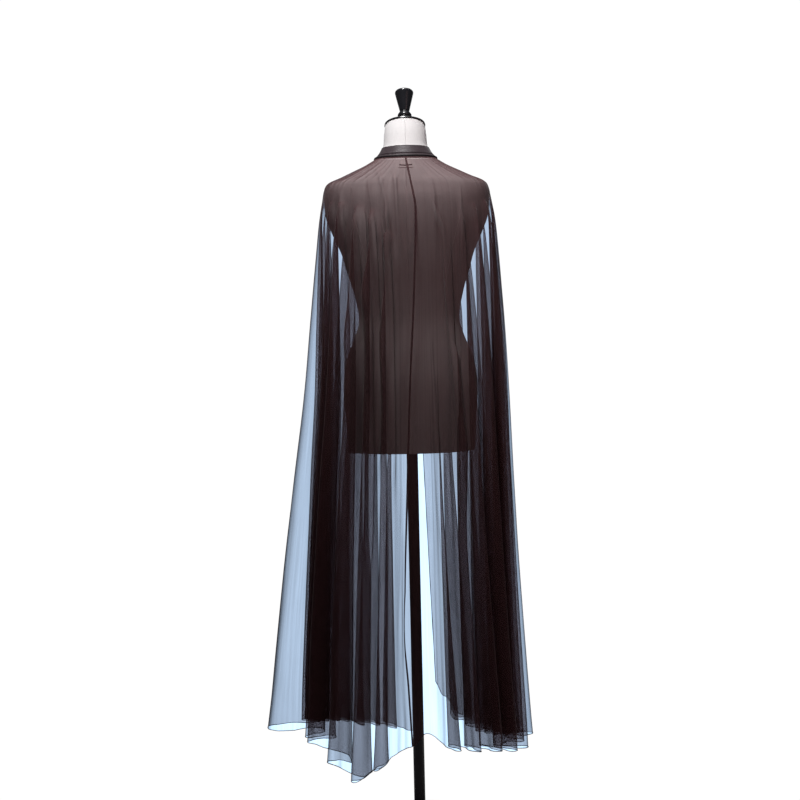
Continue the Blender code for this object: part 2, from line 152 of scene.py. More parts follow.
# The cloth's own measure, in metres across and down, as its texture place.
def layGrain(mesh, across, down):
    grain = mesh.uv_layers.new(name="grain")
    corners = np.empty(len(mesh.loops), np.int32)
    mesh.loops.foreach_get("vertex_index", corners)
    places = np.stack([across.ravel()[corners], down.ravel()[corners]], -1)
    grain.data.foreach_set("uv", places.astype(np.float32).ravel())


# A closed tube along a path, with an oval section: wide across the path, thick along facing.
def tubeMesh(name, path, wide, thick, facing, sides=8):
    count = len(path)
    run = unit(np.gradient(path, axis=0))
    facing = np.broadcast_to(facing, path.shape)
    facing = unit(facing - run * np.sum(facing * run, -1, keepdims=True))
    across = np.cross(run, facing)
    turn = np.linspace(0, 2 * np.pi, sides, endpoint=False)[None, :, None]
    wide = np.broadcast_to(wide, count)[:, None, None]
    thick = np.broadcast_to(thick, count)[:, None, None]
    points = path[:, None] + across[:, None] * np.cos(turn) * wide + facing[:, None] * np.sin(turn) * thick
    return gridMesh(name, points, goingRound=True, capped=True)


# One mesh out of several, so that many small things make one piece.
def joined(name, meshes):
    points, faces = [], []
    for mesh in meshes:
        start = len(points)
        points += [tuple(v.co) for v in mesh.vertices]
        faces += [[start + i for i in face.vertices] for face in mesh.polygons]
        bpy.data.meshes.remove(mesh)
    made = bpy.data.meshes.new(name)
    made.from_pydata(points, [], faces)
    made.update()
    return made


def turned(name, profile, steps, material):
    mesh = bpy.data.meshes.new(name)
    rows = [(radius, 0.0, height) for radius, height in profile]
    mesh.from_pydata(rows, [(i, i + 1) for i in range(len(rows) - 1)], [])
    made = addObject(name, mesh, material)
    screw = made.modifiers.new("turning", "SCREW")
    screw.steps = screw.render_steps = steps
    screw.use_merge_vertices = True
    screw.merge_threshold = 0.00002
    screw.use_smooth_shade = True
    made.modifiers.new("edges", "EDGE_SPLIT").split_angle = math.radians(38)
    return made


# A profile with each corner rounded by a small arc.
def roundedProfile(corners, radius, steps=4):
    rows = [corners[0]]
    for before, here, after in zip(corners, corners[1:], corners[2:]):
        here, back, ahead = Vector(here), Vector(before) - Vector(here), Vector(after) - Vector(here)
        cut = min(radius, back.length * 0.45, ahead.length * 0.45)
        start, end = here + back.normalized() * cut, here + ahead.normalized() * cut
        for step in range(steps + 1):
            share = step / steps
            rows.append(tuple(start.lerp(here, share).lerp(here.lerp(end, share), share)))
    return rows + [corners[-1]]


def addNode(tree, kind, inputs=None, **settings):
    made = tree.nodes.new(kind)
    for name, value in settings.items():
        setattr(made, name, value)
    for name, value in (inputs or {}).items():
        if isinstance(value, bpy.types.NodeSocket):
            tree.links.new(value, made.inputs[name])
        else:
            made.inputs[name].default_value = value
    return made


def math2(tree, kind, first, second, clamp=False):
    return addNode(tree, "ShaderNodeMath", {0: first, 1: second}, operation=kind, use_clamp=clamp).outputs[0]


def newMaterial(name):
    made = bpy.data.materials.new(name)
    made.use_nodes = True
    made.node_tree.nodes.clear()
    return made, made.node_tree


# Noise on stretched coordinates, spread to a range.
def stretchedNoise(tree, place, scale, low, high, detail=3.0, roughness=0.55, seedShift=0.0):
    moved = addNode(
        tree,
        "ShaderNodeMapping",
        {"Vector": place, "Scale": scale, "Location": (seedShift, seedShift * 0.7, seedShift * 0.3)},
    )
    noise = addNode(
        tree,
        "ShaderNodeTexNoise",
        {"Vector": moved.outputs[0], "Scale": 1.0, "Detail": detail, "Roughness": roughness},
    )
    spread = addNode(
        tree,
        "ShaderNodeMapRange",
        {"Value": noise.outputs["Fac"], "From Min": 0.28, "From Max": 0.72, "To Min": low, "To Max": high},
    )
    return spread.outputs[0]


def colourBetween(tree, share, dark, light):
    mixed = addNode(tree, "ShaderNodeMix", data_type="RGBA")
    tree.links.new(share, mixed.inputs["Factor"])
    mixed.inputs[6].default_value = (*dark, 1)
    mixed.inputs[7].default_value = (*light, 1)
    return mixed.outputs[2]


chiffonFinish = {
    "through": 0.52,  # light that one layer lets through, straight on
    "throughSpread": 0.05,
    "tint": (0.985, 0.925, 0.930),
    "dark": (0.041, 0.014, 0.016),
    "light": (0.080, 0.030, 0.032),
    "least": 0.13,  # the shallowest angle that still counts
    "roughness": 0.72,
    "specular": 0.22,
    "sheen": 0.10,
    "sheenRoughness": 0.5,
    "bump": 0.0004,
}


# Sheer cloth: threads with gaps between them, which close up as the cloth turns edge on.
def makeChiffon(name, finish, through=None, dense=1.0):
    made, tree = newMaterial(name)
    grain = addNode(tree, "ShaderNodeUVMap", uv_map="grain").outputs[0]
    through = finish["through"] if through is None else through
    spread = finish["throughSpread"] * dense
    streaks = stretchedNoise(tree, grain, (160, 3.5, 1), through - spread, through + spread * 0.8)
    clouds = stretchedNoise(tree, grain, (9, 4, 1), -0.02, 0.02, seedShift=4.0)
    threadGaps = math2(tree, "ADD", streaks, clouds)
    facing = addNode(tree, "ShaderNodeLayerWeight", {"Blend": 0.5}).outputs["Facing"]
    straight = math2(tree, "MAXIMUM", math2(tree, "SUBTRACT", 1.0, facing), finish["least"])
    slant = math2(tree, "DIVIDE", 1.0, straight)
    passing = math2(tree, "POWER", threadGaps, slant, clamp=True)
    crepe = stretchedNoise(tree, grain, (1100, 800, 1), 0.0, 1.0, detail=2.0, seedShift=9.0)
    crinkle = stretchedNoise(tree, grain, (210, 28, 1), 0.0, 1.0, detail=4.0, seedShift=2.0)
    height = math2(tree, "ADD", math2(tree, "MULTIPLY", crepe, 0.25), crinkle)
    bump = addNode(tree, "ShaderNodeBump", {"Height": height, "Strength": 0.35, "Distance": finish["bump"]})
    colour = colourBetween(tree, crinkle, finish["dark"], finish["light"])
    body = addNode(
        tree,
        "ShaderNodeBsdfPrincipled",
        {
            "Base Color": colour,
            "Roughness": finish["roughness"],
            "Specular IOR Level": finish["specular"],
            "Sheen Weight": finish["sheen"],
            "Sheen Roughness": finish["sheenRoughness"],
            "Normal": bump.outputs[0],
        },
    )
    clear = addNode(tree, "ShaderNodeBsdfTransparent", {"Color": (*finish["tint"], 1)})
    mixed = addNode(tree, "ShaderNodeMixShader", {0: passing, 1: body.outputs[0], 2: clear.outputs[0]})
    addNode(tree, "ShaderNodeOutputMaterial", {"Surface": mixed.outputs[0]})
    return made


# Close woven cloth that lets nothing through.
def makeWovenCloth(name, dark, light, scale, roughness, sheen, bumpHeight=0.0004):
    made, tree = newMaterial(name)
    place = addNode(tree, "ShaderNodeTexCoord").outputs["Object"]
    slubs = stretchedNoise(tree, place, (scale * 0.08, scale * 0.08, scale * 0.25), 0.0, 1.0, detail=5.0)
    weave = stretchedNoise(tree, place, (scale, scale, scale * 1.3), 0.0, 1.0, detail=2.0, seedShift=5.0)
    height = math2(tree, "ADD", math2(tree, "MULTIPLY", weave, 0.7), math2(tree, "MULTIPLY", slubs, 0.3))
    bump = addNode(tree, "ShaderNodeBump", {"Height": height, "Strength": 0.5, "Distance": bumpHeight})
    colour = colourBetween(tree, height, dark, light)
    rough = addNode(
        tree,
        "ShaderNodeMapRange",
        {"Value": slubs, "To Min": roughness - 0.06, "To Max": roughness + 0.08},
    )
    body = addNode(
        tree,
        "ShaderNodeBsdfPrincipled",
        {
            "Base Color": colour,
            "Roughness": rough.outputs[0],
            "Specular IOR Level": 0.25,
            "Sheen Weight": sheen,
            "Sheen Roughness": 0.45,
            "Normal": bump.outputs[0],
        },
    )
    addNode(tree, "ShaderNodeOutputMaterial", {"Surface": body.outputs[0]})
    return made


# Paint or lacquer with faint unevenness and worn gloss.
def makePaint(name, colour, roughness, coat, speck=260.0, bumpHeight=0.00015):
    made, tree = newMaterial(name)
    place = addNode(tree, "ShaderNodeTexCoord").outputs["Object"]
    ripple = stretchedNoise(tree, place, (speck, speck, speck), 0.0, 1.0, detail=2.0)
    low, high = roughness - 0.05, roughness + 0.09
    wear = stretchedNoise(tree, place, (14, 14, 9), low, high, detail=6.0, seedShift=3.0)
    tone = stretchedNoise(tree, place, (6, 6, 6), 0.0, 1.0, seedShift=8.0)
    bump = addNode(tree, "ShaderNodeBump", {"Height": ripple, "Strength": 0.25, "Distance": bumpHeight})
    lighter = tuple(min(1.0, c * 1.7 + 0.003) for c in colour)
    body = addNode(
        tree,
        "ShaderNodeBsdfPrincipled",
        {
            "Base Color": colourBetween(tree, tone, colour, lighter),
            "Roughness": wear,
            "Coat Weight": coat,
            "Coat Roughness": 0.12,
            "Normal": bump.outputs[0],
        },
    )
    addNode(tree, "ShaderNodeOutputMaterial", {"Surface": body.outputs[0]})
    return made


chiffon = makeChiffon("chiffon", chiffonFinish)
rolledHem = makeChiffon("rolledHem", chiffonFinish, through=0.30, dense=1.4)
frenchSeam = makeChiffon("frenchSeam", chiffonFinish, through=0.16, dense=0.6)
collarCloth = makeWovenCloth("collarCloth", (0.022, 0.014, 0.017), (0.056, 0.040, 0.046), 900, 0.46, 0.18)
collarEdge = makeWovenCloth("collarEdge", (0.007, 0.004, 0.005), (0.014, 0.009, 0.010), 900, 0.65, 0.02)
thread = makeWovenCloth("thread", (0.020, 0.013, 0.014), (0.045, 0.032, 0.034), 2500, 0.6, 0.1)
labelCloth = makeWovenCloth("labelCloth", (0.84, 0.80, 0.78), (0.93, 0.90, 0.88), 1800, 0.8, 0.1)
labelThread = makeWovenCloth("labelThread", (0.85, 0.83, 0.82), (0.95, 0.94, 0.93), 2500, 0.7, 0.1)
formCover = makeWovenCloth("formCover", (0.74, 0.715, 0.71), (0.83, 0.805, 0.80), 1300, 0.9, 0.12)
blackLacquer = makePaint("blackLacquer", (0.006, 0.006, 0.008), 0.24, 0.5)
blackPaint = makePaint("blackPaint", (0.008, 0.008, 0.009), 0.38, 0.15, speck=700.0)
print("materials made")

formShape = {
    "around": 180,
    "spacing": 0.006,
    "seamWide": 0.0011,
    "seamProud": 0.0003,
    "sideSeamTop": 1.50,  # the side pieces end at the shoulder
    "edgeAngle": 50,
    "seamAngles": (0.0, 38.0, -38.0, 142.0, -142.0),  # centre back, then back and front princess seams
    # height, half width, back, front, centre, full, lean, dip
    "rings": (
        (0.8965, 0.146, 0.101, 0.094, 0.0, 0.08, 0.0, 0.0),
        (0.970, 0.150, 0.107, 0.098, 0.0, 0.08, 0.0, 0.0),
        (1.050, 0.154, 0.108, 0.100, 0.0, 0.08, 0.0, 0.0),
        (1.110, 0.145, 0.096, 0.096, 0.0, 0.08, 0.0, 0.0),
        (1.157, 0.126, 0.084, 0.092, 0.0, 0.08, 0.0, 0.0),
        (1.200, 0.115, 0.080, 0.091, 0.0, 0.08, 0.0, 0.0),
        (1.260, 0.1255, 0.086, 0.102, 0.0, 0.08, 0.0, 0.0),
        (1.315, 0.142, 0.096, 0.120, 0.0, 0.08, 0.0, 0.0),
        (1.350, 0.152, 0.101, 0.128, 0.0, 0.08, 0.0, 0.0),
        (1.395, 0.1715, 0.105, 0.120, 0.0, 0.08, 0.0, 0.004),
        (1.430, 0.1845, 0.105, 0.108, 0.0, 0.08, 0.0, 0.010),
        (1.470, 0.188, 0.101, 0.092, 0.0, 0.10, 0.0, 0.018),
        (1.495, 0.186, 0.095, 0.080, 0.0, 0.10, 0.0, 0.026),
        (1.508, 0.177, 0.090, 0.073, 0.0, 0.08, 0.0, 0.032),
        (1.520, 0.149, 0.083, 0.067, 0.0, 0.06, 0.0, 0.038),
        (1.533, 0.121, 0.075, 0.062, 0.0, 0.04, 0.0, 0.040),
        (1.546, 0.094, 0.066, 0.057, 0.0, 0.02, 0.0, 0.043),
        (1.5615, 0.0685, 0.055, 0.053, 0.0, 0.0, 0.0, 0.043),
        (1.575, 0.0580, 0.0505, 0.050, -0.002, 0.0, 0.001, 0.042),
        (1.590, 0.0510, 0.0468, 0.0465, -0.004, 0.0, 0.002, 0.038),
        (1.626, 0.0480, 0.0445, 0.0445, -0.009, 0.0, 0.012, 0.018),
        (1.651, 0.0455, 0.0430, 0.0430, -0.014, 0.0, 0.026, 0.0),
    ),
}
formRings = np.array([(row[0], row[1], *row[1:]) for row in formShape["rings"]])[::-1]


def makeForm():
    rings = spreadRings(formRings, formShape["spacing"])
    angles = np.linspace(0, 2 * np.pi, formShape["around"], endpoint=False)[None, :]
    angles = angles + 0 * rings["height"]
    points = ringPoint(rings, angles)
    form = addObject("formBody", gridMesh("formBody", points, goingRound=True, capped=True), formCover)
    form.modifiers.new("edges", "EDGE_SPLIT").split_angle = math.radians(formShape["edgeAngle"])
    fitPiece(form, "dress_form")
    seams = []
    for degrees in formShape["seamAngles"]:
        line = np.full_like(rings["height"], math.radians(degrees))
        path = ringPoint(rings, line)[:, 0]
        facing = outward(rings, line)[:, 0]
        if degrees:
            low = path[:, 2] < formShape["sideSeamTop"]
            path, facing = path[low], facing[low]
        seams.append(tubeMesh("coverSeam", path, formShape["seamWide"], formShape["seamProud"], facing, 6))
    fitPiece(addObject("formSeams", joined("formSeams", seams), formCover))


neckTop = dict(zip(ringNames, formRings[0]))


# The neck's sloping top as a frame: its middle, and up along the slope's normal.
def neckFrame():
    tilt = math.atan(neckTop["lean"] / (2 * neckTop["back"]))
    middle = Vector((0, neckTop["centre"], neckTop["height"] - neckTop["lean"] / 2))
    return Matrix.Translation(middle) @ Matrix.Rotation(tilt, 4, "X")


capShape = {
    "thick": 0.0042,
    "crown": 0.0008,
    "overhang": 0.0016,
    "gap": 0.0003,
    "inset": 0.012,
    "shoulder": 0.985,  # the share of its radius where the side begins
    "rounding": 0.0012,
    "steps": 128,
}


def makeNeckCap():
    slope = math.hypot(2 * neckTop["back"], neckTop["lean"]) / 2
    thick, high = capShape["thick"], capShape["thick"] + capShape["crown"]
    edge = neckTop["left"] + capShape["overhang"]
    corners = (
        (0.0, high),
        (edge - capShape["inset"], high),
        (edge * capShape["shoulder"], thick),
        (edge, 0.0),
        (0.0, 0.0),
    )
    cap = turned("neckCap", roundedProfile(corners, capShape["rounding"]), capShape["steps"], blackLacquer)
    shape = Matrix.Diagonal((1.0, (slope + capShape["overhang"]) / edge, 1.0, 1.0))
    cap.matrix_world = neckFrame() @ Matrix.Translation((0, 0, capShape["gap"])) @ shape
    fitPiece(cap, "neck_cap")


finialShape = {
    "seat": 0.0056,
    "rounding": 0.0028,
    "steps": 96,
    "corners": (  # radius, height, top to bottom
        (0.0, 0.0835), (0.012, 0.083), (0.0195, 0.0808), (0.0215, 0.077), (0.0208, 0.073),
        (0.0112, 0.0318), (0.0094, 0.0298), (0.0125, 0.0276), (0.016, 0.0222), (0.0161, 0.018),
        (0.0125, 0.0132), (0.011, 0.007), (0.0165, 0.0015), (0.0165, 0.0), (0.0, 0.0),
    ),
}


def makeFinial():
    profile = roundedProfile(finialShape["corners"], finialShape["rounding"], steps=6)
    finial = turned("finialKnob", profile, finialShape["steps"], blackLacquer)
    finial.matrix_world = neckFrame() @ Matrix.Translation((0, 0, finialShape["seat"]))
    fitPiece(finial, "finial")


standShape = {
    "pole": 0.013,
    "base": 0.150,
    "thick": 0.012,
    "hub": 0.030,
    "hubHigh": 0.010,
    "hubRim": 0.004,  # how far the hub's top stands out round the pole
    "hubFoot": 0.001,
    "bevelIn": 0.006,
    "bevelDown": 0.004,
    "gap": 0.0003,
    "baseRounding": 0.003,
    "poleRounding": 0.0006,
    "baseSteps": 128,
    "poleSteps": 48,
}


def makeStand():
    size = standShape
    hubTop = size["thick"] + size["hubHigh"]
    corners = (
        (0.0, hubTop),
        (size["pole"] + size["hubRim"], hubTop),
        (size["hub"], size["thick"] + size["hubFoot"]),
        (size["base"] - size["bevelIn"], size["thick"]),
        (size["base"], size["thick"] - size["bevelDown"]),
        (size["base"], 0.0),
        (0.0, 0.0),
    )
    base = turned("baseDisc", roundedProfile(corners, size["baseRounding"]), size["baseSteps"], blackPaint)
    fitPiece(base, "stand_base")
    top, foot = formRings[-1][0] - size["gap"], hubTop + size["gap"]
    corners = ((0.0, top), (size["pole"], top), (size["pole"], foot), (0.0, foot))
    pole = turned("poleTube", roundedProfile(corners, size["poleRounding"]), size["poleSteps"], blackPaint)
    fitPiece(pole, "stand_pole")


makeForm()
makeNeckCap()
makeFinial()
makeStand()
print("form and stand made")

capeShape = {
    "hem": 0.270,
    "shoulder": 1.495,
    "slopeFrom": 1.13,  # below this the hem's dips show
    "easeOut": 0.0013,
    "easeUp": 0.0008,
    "neckRoom": 0.0040,
    "roomFrom": 1.508,
    "roomFull": 1.546,
    "overhang": 1.12,
    "seamGap": 0.0004,
    "spacing": 0.007,
    "foldSteps": 26,
    "flatStep": 0.5,  # degrees
    "resting": (1.5600, 1.546, 1.533, 1.520, 1.508, 1.495),
    # height, left, right, back, front, full, dip
    "hanging": (
        (1.470, 0.1925, 0.1925, 0.1050, 0.0960, 0.10, 0.018),
        (1.420, 0.1960, 0.1970, 0.1110, 0.1230, 0.10, 0.008),
        (1.330, 0.1970, 0.1990, 0.1160, 0.1380, 0.08, 0.0),
        (1.190, 0.1990, 0.2010, 0.1240, 0.1440, 0.06, 0.0),
        (1.020, 0.2020, 0.2000, 0.1350, 0.1480, 0.06, 0.0),
        (0.830, 0.2120, 0.1970, 0.1480, 0.1520, 0.06, 0.0),
        (0.630, 0.2210, 0.1960, 0.1620, 0.1610, 0.06, 0.0),
        (0.430, 0.2290, 0.1990, 0.1760, 0.1700, 0.06, 0.0),
        (0.270, 0.2330, 0.2030, 0.1850, 0.1760, 0.06, 0.0),
    ),
    # Angles in degrees: 0 is the centre back, 90 the wearer's left, -90 the right, 180 the front.
    # angle under the shoulder, angle at the hem, half width, crest's lean, depth, start,
    # growth (a low one fills out high up)
    "folds": (
        (-164, -162.0, 4.3, 13.0, 0.066, 1.380, 0.75),
        (-153, -152.0, 4.4, 14.0, 0.072, 1.420, 0.60),
        (-143, -142.5, 4.4, 14.0, 0.070, 1.440, 0.50),
        (-133, -133.0, 4.4, 12.0, 0.066, 1.450, 0.45),
        (-123, -123.5, 4.4, 8.0, 0.054, 1.450, 0.50),
        (-113, -114.0, 4.4, 4.0, 0.044, 1.460, 0.50),
        (-104, -104.5, 4.3, 2.0, 0.040, 1.460, 0.55),
        (-88, -89.0, 7.5, 2.0, 0.063, 1.475, 0.90),
        (-75, -75.5, 4.6, -1.0, 0.046, 1.470, 0.55),
        (-61, -62.0, 5.8, -5.5, 0.062, 1.460, 0.50),
        (-46, -47.5, 5.4, -5.5, 0.066, 1.450, 0.50),
        (-34, -35.5, 4.9, -6.0, 0.066, 1.430, 0.60),
        (-24, -25.0, 4.7, -6.0, 0.056, 1.400, 0.75),
        (-13, -14.5, 4.2, -6.5, 0.050, 1.100, 0.90),
        (9.5, 12.0, 4.4, 8.0, 0.040, 1.390, 0.45),
        (19, 22.0, 4.2, 8.5, 0.052, 1.440, 0.42),
        (30, 32.5, 5.2, 9.0, 0.070, 1.450, 0.42),
        (44, 46.5, 6.0, 7.0, 0.072, 1.460, 0.42),
        (57, 58.0, 4.4, 2.0, 0.058, 1.465, 0.50),
        (76, 77.5, 14.0, -1.0, 0.118, 1.475, 0.90),
        (101, 101.0, 4.4, -2.0, 0.044, 1.460, 0.55),
        (111, 111.0, 4.4, -5.0, 0.046, 1.460, 0.50),
        (121, 121.0, 4.5, -9.0, 0.058, 1.450, 0.50),
        (131, 131.0, 4.5, -13.0, 0.070, 1.450, 0.45),
        (141, 141.0, 4.5, -15.0, 0.074, 1.440, 0.45),
        (151, 151.0, 4.4, -15.0, 0.074, 1.420, 0.55),
        (161, 161.5, 4.3, -13.0, 0.066, 1.380, 0.70),
        (170.5, 171.0, 4.2, -9.0, 0.050, 1.330, 0.80),
    ),
    # how far the hem dips below its level, by angle
    "hemDips": (
        (-168, -0.04), (-163, 0.0), (-154, 0.058), (-138, 0.076), (-121, 0.074), (-108, 0.06),
        (-87, 0.04), (-67, 0.046), (-52, 0.034), (-39, 0.022), (-19, 0.013), (-5, -0.016),
        (4, 0.012), (10, 0.024), (20, 0.055), (30, 0.082), (41, 0.04), (53, 0.004),
        (76, -0.004), (99, 0.012), (118, 0.03), (136, 0.045), (148, 0.062), (179, 0.085),
    ),
    # how far to the wearer's left the centre back seam runs, by height
    "backSeam": (
        (1.5615, 0.0), (1.5, -0.01), (1.445, -0.0175), (1.25, -0.011), (1.07, 0.0),
        (0.9, 0.0085), (0.6, 0.0205), (0.5, 0.0235), (0.4, 0.018), (0.27, 0.012),
    ),
    # the other edges: degrees under the shoulder and at the hem
    "edges": {
        "rightFront": (-178.4, -167.5),
        "rightSide": (-97.0, -97.2),
        "leftSide": (92.8, 93.0),
        "leftFront": (178.4, 179.3),
    },
}


def restingRing(height):
    ring = ringAt(formRings, height)
    share = (height - capeShape["roomFrom"]) / (capeShape["roomFull"] - capeShape["roomFrom"])
    ring = grown(ring, capeShape["easeOut"], capeShape["easeUp"])
    ring["back"] = ring["back"] + capeShape["neckRoom"] * min(max(share, 0.0), 1.0)
    return [ring[name].item() for name in ringNames]


hangingRows = [(h, l, r, b, f, 0.0, full, 0.0, dip) for h, l, r, b, f, full, dip in capeShape["hanging"]]
capeRings = np.array([restingRing(height) for height in capeShape["resting"]] + hangingRows)
capeRows = spreadRings(capeRings, capeShape["spacing"])
capeHeights = capeRows["height"]


def dropShare(height):
    return np.clip((capeShape["shoulder"] - height) / (capeShape["shoulder"] - capeShape["hem"]), 0, 1)


def edgeLine(name):
    top, hem = capeShape["edges"][name]
    return np.radians(between(top, hem, dropShare(capeHeights)))


def backSeamLine():
    table = np.array(capeShape["backSeam"])
    places = np.interp(-capeHeights[:, 0], -table[:, 0], np.arange(len(table)))
    aside = smoothRows(table, places)[:, 1:2]
    return np.arcsin(aside / np.where(aside >= 0, capeRows["left"], capeRows["right"]))


def foldFoot(fold, side):
    top, hem, half = fold[:3]
    return np.radians(between(top, hem, dropShare(capeHeights)) + side * half)


def foldPlace(fold, across):
    top, hem, half, sweep, depth, start, growth = fold
    full = np.clip((start - capeHeights) / (start - capeShape["hem"]), 0, 1)
    rounding = capeShape["overhang"] * full**0.5 * math.sin(2 * math.pi * across) / (2 * math.pi)
    rise = full**growth * (1 + math.cos(math.pi * across)) / 2
    aside = half * (across + rounding) + sweep * rise
    return foldFoot(fold, 0) + np.radians(aside), depth * rise


# A panel's columns, from its first edge over its folds to its last: an angle and a reach for
# each height.
def panelColumns(start, end, folds):
    angles, reaches = [], []
    before = start
    for fold in list(folds) + [None]:
        after = end if fold is None else foldFoot(fold, -1)
        width = math.degrees((after - before)[-1].item())
        steps = max(2, round(width / capeShape["flatStep"]))
        for step in range(1 if angles else 0, steps + 1):
            angles.append(between(before, after, step / steps))
            reaches.append(0 * capeHeights)
        if fold is None:
            break
        for step in range(1, capeShape["foldSteps"] + 1):
            angle, reach = foldPlace(fold, 2 * step / capeShape["foldSteps"] - 1)
            angles.append(angle)
            reaches.append(reach)
        before = foldFoot(fold, 1)
    return np.concatenate(angles, 1), np.concatenate(reaches, 1)


def hemDip(angle):
    places, dips = np.array(capeShape["hemDips"]).T
    places = np.radians(places)
    slot = np.clip(np.searchsorted(places, angle) - 1, 0, len(places) - 2)
    share = np.clip((angle - places[slot]) / (places[slot + 1] - places[slot]), 0, 1)
    return between(dips[slot], dips[slot + 1], (1 - np.cos(np.pi * share)) / 2)


def surfaceNormals(points):
    down = np.gradient(points, axis=0)
    across = np.gradient(points, axis=1)
    return unit(np.cross(down, across))


rippleShape = {
    # waves along the hem: length, depth, how far up they die out, drift
    "hemWaves": ((0.052, 0.0030, 0.16, 0.0), (0.031, 0.0016, 0.09, 1.7), (0.083, 0.0034, 0.28, 0.6)),
    "hemStray": (2.2, 7.0),  # how far a wave strays, and how fast
    "hemSwell": (0.38, 9.1),  # how much its depth changes, and how fast
    # gathers down the whole length: length at the hem, depth, drift
    "gathers": ((0.0230, 0.0010, 0.4), (0.0370, 0.0022, 2.1), (0.0120, 0.0003, 4.4)),
    "gatherStray": (1.6, 3.1),
    "gatherSwell": (0.5, 23.0),
    "gatherStart": 0.25,  # how far below the shoulder they are at their deepest
    "calm": 0.35,  # what is left of them where the cloth hangs flat over the back
    "calmDownTo": 1.02,
    "calmFade": 0.3,
    "panelShift": 1.3,  # sets the waves of one panel off from the next one's
}

creaseShape = {
    "softTop": 0.05,  # the heights over which a crease begins and ends
    "softFoot": 0.14,
    "pastSide": 0.05,  # how far past the side the back's creases go, and how softly, in cosines
    "sideFade": 0.3,
    "frontNarrower": 0.88,
    "frontLower": 0.5,
}
# Creases placed on the back: half width, rise, then the line by height and by how far
# it runs to the wearer's left. The front, which the photo hides, has lower ones on the other side.
creases = (
    (0.0042, 0.0040, ((1.556, 0.067), (1.503, 0.055), (1.460, 0.046), (1.380, 0.044))),
    (0.0052, 0.0120, ((1.470, 0.046), (1.380, 0.044), (1.200, 0.042), (1.000, 0.043), (0.780, 0.046))),
    (0.0046, 0.0090, ((1.430, 0.060), (1.300, 0.058), (1.120, 0.057), (0.860, 0.060))),
    (0.0036, 0.0034, ((1.548, 0.082), (1.500, 0.083), (1.440, 0.076), (1.360, 0.074))),
    (0.0056, 0.0130, ((1.450, 0.078), (1.340, 0.075), (1.180, 0.072), (1.000, 0.074), (0.820, 0.080))),
    (0.0060, 0.0140, ((1.460, 0.098), (1.380, 0.095), (1.200, 0.089), (0.900, 0.093), (0.620, 0.104))),
    (0.0046, 0.0085, ((1.440, 0.116), (1.320, 0.111), (1.150, 0.106), (0.940, 0.110))),
    (0.0058, 0.0060, ((1.500, 0.148), (1.440, 0.146), (1.300, 0.142), (1.120, 0.136), (0.860, 0.142))),
    (0.0044, 0.0046, ((1.55, 0.03), (1.5, 0.024), (1.4, 0.021), (1.18, 0.024), (0.82, 0.03), (0.5, 0.042))),
    (
        0.005,
        0.0064,
        ((1.475, -0.05), (1.4, -0.079), (1.25, -0.086), (1.08, -0.096), (0.9, -0.11), (0.7, -0.114)),
    ),
    (0.0036, 0.0030, ((1.500, -0.118), (1.400, -0.121), (1.200, -0.116), (1.050, -0.119))),
    (0.0046, 0.0034, ((1.530, -0.052), (1.480, -0.060), (1.420, -0.058), (1.330, -0.052))),
    (0.0032, 0.0030, ((1.180, -0.046), (1.050, -0.050), (0.900, -0.052), (0.640, -0.060))),
    (0.0052, 0.0100, ((1.150, -0.098), (1.050, -0.102), (0.930, -0.106), (0.780, -0.108))),
    (0.0048, 0.0085, ((1.130, -0.116), (1.030, -0.119), (0.900, -0.122), (0.760, -0.126))),
    (0.0034, 0.0034, ((0.820, 0.062), (0.640, 0.066), (0.480, 0.074), (0.320, 0.080))),
    (0.0040, 0.0040, ((0.760, 0.024), (0.560, 0.028), (0.400, 0.031), (0.290, 0.030))),
)
# fine folds that run out from under the collar, for the wearer's left and right
collarFolds = {
    "each": 7.0,  # degrees
    "left": 0.0017,
    "right": 0.0007,
    "from": 1.562,
    "to": 1.478,
    "stray": (1.3, 1.7),
    "swell": (0.45, 2.9),
}


def swelling(much, phase):
    return 1 - much + much * np.sin(phase)


# How far the creases and the collar's fine folds lift the cloth.
def creaseLift(points, angle):
    aside = points[..., 0]
    lift = 0 * aside
    size = creaseShape
    rear = np.cos(angle) + size["pastSide"]
    behind = smoothStep(rear / size["sideFade"])
    ahead = smoothStep(-rear / size["sideFade"]) * size["frontLower"]
    for half, rise, line in creases:
        heights, places = np.array(line)[::-1].T
        place = np.interp(capeHeights, heights, places)
        begun = smoothStep((heights[-1] - capeHeights) / size["softTop"])
        unended = smoothStep((capeHeights - heights[0]) / size["softFoot"])
        back = np.exp(-(((aside - place) / half) ** 2)) * behind
        front = np.exp(-(((aside + place * size["frontNarrower"]) / half) ** 2)) * ahead
        lift += rise * begun * unended * (back + front)
    high, low = collarFolds["from"], collarFolds["to"]
    share = np.clip((high - capeHeights) / (high - low), 0, 1)
    depth = np.where(angle >= 0, collarFolds["left"], collarFolds["right"]) * np.sin(np.pi * share)
    turn = np.degrees(angle) / collarFolds["each"]
    far, fast = collarFolds["stray"]
    wave = (1 + np.sin(2 * np.pi * turn + far * np.sin(turn * fast))) / 2
    much, often = collarFolds["swell"]
    return lift + depth * wave**2 * swelling(much, turn * often)


